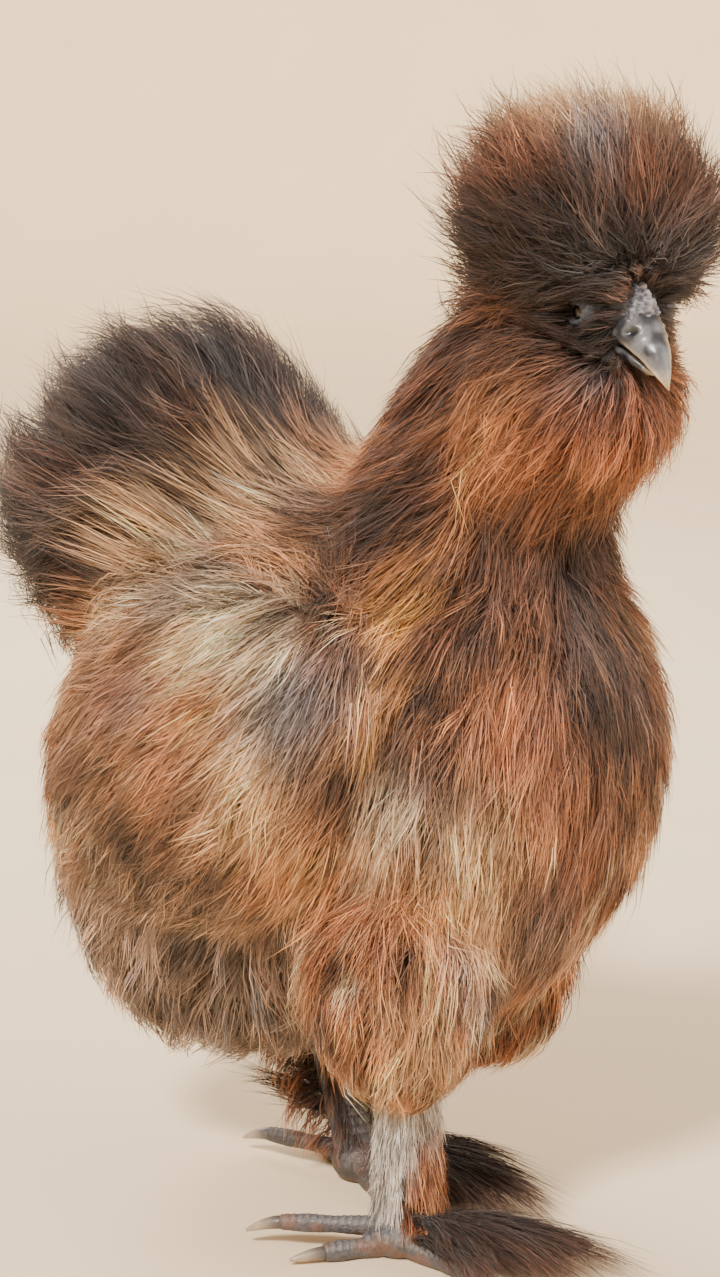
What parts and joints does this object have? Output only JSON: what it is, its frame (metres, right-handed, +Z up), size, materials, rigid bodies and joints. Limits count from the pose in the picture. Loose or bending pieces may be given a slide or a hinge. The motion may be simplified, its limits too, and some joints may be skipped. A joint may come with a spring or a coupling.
{
  "type": "silkie hen",
  "caption": "Life-size silkie hen in mid stride, with full crest, beard, cushion tail, feathered legs and the breed's extra toe.",
  "frame": {"origin": "on the floor, under the middle of the hen's bounding box", "axes": "+Z up; the hen faces -Y and her left side is +X, her head turned a little to her right"},
  "size_m": [0.1628, 0.2666, 0.3345],
  "materials": {
    "rust_plumage": "soft rust-brown feathers, hair-like, no sheen",
    "dark_plumage": "soft charcoal-brown feathers",
    "slate_skin": "matt slate-grey skin and scales",
    "horn": "semi-gloss slate horn with a pale edge",
    "eye": "wet, almost black",
    "earlobe": "matt turquoise skin"
  },
  "bodies": {
    "root": {"torso": "rust_plumage", "head": "slate_skin", "eye_right": "eye", "eye_left": "eye", "beak_upper": "horn", "beak_lower": "horn", "comb": "slate_skin", "earlobe_right": "earlobe", "earlobe_left": "earlobe", "neck": "rust_plumage", "crest": "rust_plumage", "beard": "rust_plumage", "tail": "dark_plumage", "wing_right": "rust_plumage", "wing_left": "rust_plumage", "thigh_right": "rust_plumage", "thigh_left": "rust_plumage", "foot_right": "slate_skin", "shank_right": "slate_skin", "toe_right_1": "slate_skin", "claw_right_1": "horn", "toe_right_2": "slate_skin", "claw_right_2": "horn", "toe_right_3": "slate_skin", "claw_right_3": "horn", "toe_right_4": "slate_skin", "claw_right_4": "horn", "toe_right_5": "slate_skin", "claw_right_5": "horn", "foot_left": "slate_skin", "shank_left": "slate_skin", "toe_left_1": "slate_skin", "claw_left_1": "horn", "toe_left_2": "slate_skin", "claw_left_2": "horn", "toe_left_3": "slate_skin", "claw_left_3": "horn", "toe_left_4": "slate_skin", "claw_left_4": "horn", "toe_left_5": "slate_skin", "claw_left_5": "horn"}
  },
  "joints": []
}
